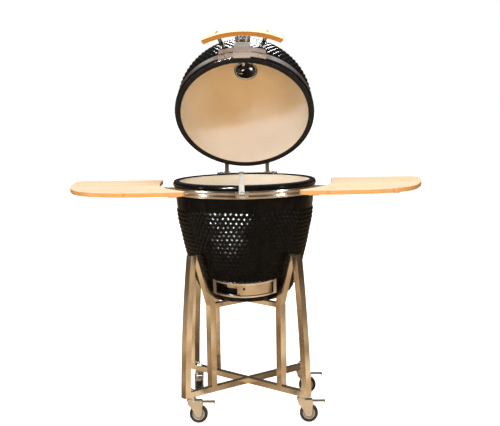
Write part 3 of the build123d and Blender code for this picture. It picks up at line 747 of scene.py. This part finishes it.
bm = bmesh.new()
lathe(bm, dome_outline, WALL_COLUMNS, dome_place @ MM,
      slot_of=lambda row: 1 if row >= chimney_row or row < MOUTH_ROWS else 0, push=dome_push)
dome = finish_mesh("lid_dome", bm, [glaze, cream], angle=50)
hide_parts("dome")
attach(dome, "lid")

FLIP = Matrix.Diagonal((1, 1, -1, 1))
lid_felt = ring_piece("lid_felt", FELT_OUTLINE, dome_place @ FLIP, felt, FELT_SWAY)
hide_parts("dome_gasket")
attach(lid_felt, "lid")

LID_STRAP_UP = 0.016               # strap above the dome's foot
lid_strap = ring_piece(
    "lid_strap", BAND_OUTLINE, dome_place @ Matrix.Translation((0, 0, LID_STRAP_UP)), band_steel)
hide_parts("dome_band")
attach(lid_strap, "lid")

# ==== Catch plate, handle and thermometer ===================================================
# Folded stainless catch with two clamp ears each side, bolted through the lid's band; arched
# bamboo handle on two steel posts; bimetal thermometer with a steel bezel above the catch.
catch_steel = metal(
    "catch_steel", (0.80, 0.80, 0.77), (0.95, 0.95, 0.93), 0.46, (1, 0.1, 1), 0.12, 0.04)
dress(["latch_catch"], catch_steel, 0.0008, 3)
dress(["lid_bolts"], bright_steel, 0.0004)
dress(["handle_posts"], bright_steel, 0.0008)
# The third colour is the painted shade on the handle's sides and underside, deeper than the boards'.
handle_bamboo = bamboo(
    "handle_bamboo", (0.92, 0.74, 0.52), (0.84, 0.60, 0.36), (0.62, 0.37, 0.11))
dress(["handle"], handle_bamboo, 0.004, 4)
dress(["thermometer_bezel", "thermometer_stem"], bright_steel, 0.0006)

dial_paint, dial_tree, dial_shader = new_material("dial_paint")
dial_spots = noise(dial_tree, object_coords(dial_tree), 300, 3)
dial_tree.links.new(
    ramp(dial_tree, dial_spots, [(0.3, (0.80, 0.79, 0.76)), (0.7, (0.88, 0.87, 0.85))]),
    dial_shader.inputs["Base Color"],
)
dial_tree.links.new(spread(dial_tree, dial_spots, 0.45, 0.6), dial_shader.inputs["Roughness"])
ink = plain("dial_ink", (0.01, 0.01, 0.01), (0.03, 0.03, 0.03), 0.5, 200)
needle_red = plain("needle_red", (0.45, 0.03, 0.02), (0.6, 0.05, 0.03), 0.45, 200)
dress(["thermometer_dial"], dial_paint)

glass, glass_tree, glass_shader = new_material("dial_glass")
glass_shader.inputs["Transmission Weight"].default_value = 1.0
glass_shader.inputs["IOR"].default_value = 1.45
smear = noise(glass_tree, object_coords(glass_tree), 60, 3)
glass_tree.links.new(spread(glass_tree, smear, 0.0, 0.05), glass_shader.inputs["Roughness"])
dress(["thermometer_lens"], glass, 0.0004)

THERMO_LEAN = math.radians(69)
THERMO = (LEAN @ Matrix.Translation((0, -0.238, DOME_Z + 0.135))
          @ Matrix.Rotation(THERMO_LEAN, 4, "X"))
TICKS, TICK_STEP = 31, 10          # degrees between ticks
FIRST_TICK = 150                   # degrees from the top of the dial
LONG_EVERY = 5
TICK_END = 0.0215
LONG_TICK = (0.0165, 0.0009)       # inner end and width
SHORT_TICK = (0.0185, 0.0005)
TICK_UP, TICK_THICK = 0.00525, 0.0002
NEEDLE_TURN = math.radians(132)
NEEDLE_TAIL, NEEDLE_UP = -0.004, 0.0066
NEEDLE_SIZE = (0.021, 0.0018, 0.0006)
NEEDLE_HUB = [(0, 5.2), (2.6, 5.2), (2.6, 7.4), (1.8, 8.0), (0, 8.0)]


def flat_bar(bm, place, length, width, thick, slot):
    """Thin bar lying along Y from the origin, tapered towards its far end."""
    bar = bmesh.ops.create_cube(bm, size=1.0)["verts"]
    shape = (Matrix.Translation((0, length / 2, thick / 2))
             @ Matrix.Diagonal((width, length, thick, 1)))
    bmesh.ops.transform(bm, matrix=shape, verts=bar)
    bmesh.ops.scale(bm, vec=(0.6, 1, 1), verts=[vert for vert in bar if vert.co.y > length / 2])
    bmesh.ops.transform(bm, matrix=place, verts=bar)
    for face in {face for vert in bar for face in vert.link_faces}:
        face.material_index = slot


bm = bmesh.new()
for tick in range(TICKS):
    turn = Matrix.Rotation(math.radians(FIRST_TICK - tick * TICK_STEP), 4, "Z")
    start, width = SHORT_TICK if tick % LONG_EVERY else LONG_TICK
    flat_bar(bm, THERMO @ turn @ Matrix.Translation((0, start, TICK_UP)),
             TICK_END - start, width, TICK_THICK, 0)
needle_place = (THERMO @ Matrix.Rotation(NEEDLE_TURN, 4, "Z")
                @ Matrix.Translation((0, NEEDLE_TAIL, NEEDLE_UP)))
flat_bar(bm, needle_place, *NEEDLE_SIZE, 1)
lathe(bm, NEEDLE_HUB, 24, THERMO @ MM, slot_of=lambda row: 1)
dial_marks = finish_mesh("dial_marks", bm, [ink, needle_red], smooth=False)
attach(dial_marks, "lid")

# ==== Chimney top ===========================================================================
# Coated cast iron for a damper plate that swivels aside and a daisy wheel with five holes
# that turns on it; the collar set in the crown is dressed in bright steel.
damper_iron = plain(
    "damper_iron", (0.006, 0.006, 0.007), (0.016, 0.016, 0.017), 0.16, 45, 0.12, 0.0004, 0.6)
dress(["vent_damper", "vent_wheel"], damper_iron, 0.0008)
dress(["vent_collar"], bright_steel, 0.0006)

# ==== Floor =================================================================================
# Wide pale floor, plain white where it is seen directly.  What the polished steel and the
# glaze mirror of it is warm and patchy, as a showroom's floor is.
FLOOR_CORNERS = ((-30, -14, 0), (30, -14, 0), (30, 30, 0), (-30, 30, 0))
bm = bmesh.new()
bm.faces.new([bm.verts.new(corner) for corner in FLOOR_CORNERS])
floor_paint, floor_tree, floor_shader = new_material("floor_paint")
dust = noise(floor_tree, object_coords(floor_tree), 3, 3)
floor_rays = add(floor_tree, "ShaderNodeLightPath")
floor_tint = add(floor_tree, "ShaderNodeMix", data_type="RGBA")
mirrored_tone = ramp(floor_tree, noise(floor_tree, object_coords(floor_tree), 1.1, 1), [
    (0.38, (0.09, 0.058, 0.032)), (0.50, (0.29, 0.195, 0.105)), (0.62, (0.58, 0.44, 0.28))])
seen_tone = ramp(floor_tree, dust, [(0.3, (0.90, 0.90, 0.90)), (0.7, (0.94, 0.94, 0.94))])
floor_glow = spread(floor_tree, floor_rays.outputs["Is Camera Ray"], 0.30, 0.94)
floor_tree.links.new(mirrored_tone, floor_tint.inputs["A"])
floor_tree.links.new(seen_tone, floor_tint.inputs["B"])
floor_tree.links.new(floor_rays.outputs["Is Camera Ray"], floor_tint.inputs["Factor"])
floor_tree.links.new(floor_tint.outputs["Result"], floor_shader.inputs["Base Color"])
floor_tree.links.new(floor_tint.outputs["Result"], floor_shader.inputs["Emission Color"])
floor_tree.links.new(floor_glow, floor_shader.inputs["Emission Strength"])
floor_tree.links.new(spread(floor_tree, dust, 0.8, 0.9), floor_shader.inputs["Roughness"])
floor = finish_mesh("floor", bm, [floor_paint], smooth=False)

# ==== Room ==================================================================================
# White behind the grill.  Shiny surfaces mirror a warm room instead: a light ceiling, a dark
# band of furniture at eye level and a tan floor.
world = bpy.data.worlds.new("studio")
bpy.context.scene.world = world
world.use_nodes = True
sky = world.node_tree
sky.nodes.clear()
out = add(sky, "ShaderNodeOutputWorld")
seen = add(sky, "ShaderNodeBackground")
seen.inputs["Color"].default_value = (1, 1, 1, 1)
seen.inputs["Strength"].default_value = 1.0
room = add(sky, "ShaderNodeBackground")
look = add(sky, "ShaderNodeTexCoord")
height = add(sky, "ShaderNodeSeparateXYZ")
sky.links.new(look.outputs["Generated"], height.inputs["Vector"])
level = spread(sky, height.outputs["Z"], 0.0, 1.0)
level.node.inputs["From Min"].default_value = -1.0
tint = ramp(sky, level, [
    (0.0, (0.25, 0.18, 0.12)), (0.42, (0.42, 0.28, 0.17)), (0.5, (0.07, 0.045, 0.03)),
    (0.56, (0.16, 0.115, 0.08)), (0.68, (0.15, 0.125, 0.10)), (1.0, (1.25, 1.22, 1.18)),
])
patches = add(sky, "ShaderNodeMapping")
patches.inputs["Scale"].default_value = (1.0, 1.0, 0.25)
sky.links.new(look.outputs["Generated"], patches.inputs["Vector"])
clumps = ramp(sky, noise(sky, patches.outputs["Vector"], 2.6, 1), [
    (0.40, (0.10, 0.07, 0.05)), (0.60, (1, 1, 1))])
blend = add(sky, "ShaderNodeMix", data_type="RGBA", blend_type="MULTIPLY")
blend.inputs["Factor"].default_value = 0.75
sky.links.new(tint, blend.inputs["A"])
sky.links.new(clumps, blend.inputs["B"])
sky.links.new(blend.outputs["Result"], room.inputs["Color"])
room.inputs["Strength"].default_value = 0.9
choose = add(sky, "ShaderNodeMixShader")
rays = add(sky, "ShaderNodeLightPath")
sky.links.new(rays.outputs["Is Camera Ray"], choose.inputs["Fac"])
sky.links.new(room.outputs[0], choose.inputs[1])
sky.links.new(seen.outputs[0], choose.inputs[2])
sky.links.new(choose.outputs[0], out.inputs["Surface"])


# ==== Lamps =================================================================================
# Soft boxes in front and above, narrow strips at the sides for the steel, and small hard
# lamps that only put sparkle on the glazed studs.


def softbox(name, place, aim, size, watts, colour=(1, 1, 1), mirrored=True):
    """Rectangular soft light aimed at a point; mirrored says whether shiny surfaces show it."""
    light = bpy.data.lights.new(name, "AREA")
    light.shape = "RECTANGLE"
    light.size, light.size_y = size
    light.energy = watts
    light.color = colour
    lamp = bpy.data.objects.new(name, light)
    lamp.location = place
    lamp.visible_glossy = mirrored
    lamp.rotation_euler = (Vector(aim) - Vector(place)).to_track_quat("-Z", "Y").to_euler()
    bpy.context.scene.collection.objects.link(lamp)
    return lamp


KEY_AT, KEY_AIM, KEY_SIZE = (-1.35, -3.9, 3.5), (0, 0.2, 1.0), (0.6, 0.4)
key = softbox("key", KEY_AT, KEY_AIM, KEY_SIZE, 150, (0.89, 0.94, 1.0), mirrored=False)
lid_key = softbox("lid_key", KEY_AT, KEY_AIM, KEY_SIZE, 114, (0.68, 0.78, 1.0), mirrored=False)
softbox("front_fill", (0.4, -5.2, 1.2), (0, 0, 0.9), (3.0, 1.4), 120, (1.0, 0.63, 0.25),
        mirrored=False)
softbox("overhead", (0.2, -0.4, 3.8), (0, 0, 0.8), (2.4, 2.0), 95, mirrored=False)
softbox("right_strip", (3.0, -1.6, 1.5), (0, 0, 0.8), (0.30, 2.2), 34)
softbox("left_strip", (-3.2, -1.2, 1.4), (0, 0, 0.7), (0.30, 2.2), 34, (1.0, 0.93, 0.84))
softbox("low_card", (0.05, -5.6, 0.28), (0, -0.27, 0.87), (0.9, 0.5), 1.6)


def lit_group(name, pieces, state="INCLUDE"):
    """Collection that tells a lamp which pieces it lights, or which it leaves out."""
    group = bpy.data.collections.new(name)
    for piece in pieces:
        group.objects.link(piece)
    for member in group.collection_objects:
        member.light_linking.link_state = state
    return group


lid_key.light_linking.receiver_collection = lit_group("lid_only", [dome])
key.light_linking.receiver_collection = lit_group("all_but_lid", [dome], "EXCLUDE")
glazed = lit_group("glazed", [bowl, dome])
for name, place, size, watts in (
    ("sparkle_left", (-1.3, -3.4, 2.6), (0.28, 0.28), 3000),
    ("sparkle_low", (-1.9, -3.4, 1.7), (0.26, 0.26), 1500),
    ("sparkle_top", (0.1, 1.3, 3.4), (1.1, 0.6), 600),
):
    sparkle = softbox(name, place, (0, 0, 0.8), size, watts)
    sparkle.visible_diffuse = False
    sparkle.light_linking.receiver_collection = glazed

# ==== Camera ================================================================================
# Far off and a little above the rim, looking slightly down, with a very slight roll.  The
# whole of it is turned a little round the grill.
CAMERA_AT = Vector((0.0435, -4.476, 1.264))
PITCH, YAW, ROLL = math.radians(6.763), math.radians(-0.325), math.radians(-1.05)
ORBIT = math.radians(1.6)
SENSOR_MM = 36.0
FOCAL_PER_WIDTH = 1222.0 / 500     # focal length over the picture's width
forward = Vector((
    math.sin(YAW) * math.cos(PITCH), math.cos(YAW) * math.cos(PITCH), -math.sin(PITCH)))
right = forward.cross(Vector((0, 0, 1))).normalized()
above = right.cross(forward)
turned_right = right * math.cos(ROLL) + above * math.sin(ROLL)
turned_above = above * math.cos(ROLL) - right * math.sin(ROLL)
aim = Matrix((turned_right, turned_above, -forward)).transposed().to_4x4()
lens = bpy.data.cameras.new("camera")
lens.sensor_fit = "HORIZONTAL"
lens.sensor_width = SENSOR_MM
lens.lens = FOCAL_PER_WIDTH * SENSOR_MM
lens.clip_end = 100
camera = bpy.data.objects.new("camera", lens)
camera.matrix_world = Matrix.Rotation(ORBIT, 4, "Z") @ Matrix.Translation(CAMERA_AT) @ aim
bpy.context.scene.collection.objects.link(camera)
bpy.context.scene.camera = camera
bpy.context.scene.view_settings.view_transform = "Standard"
bpy.context.scene.view_settings.look = "None"
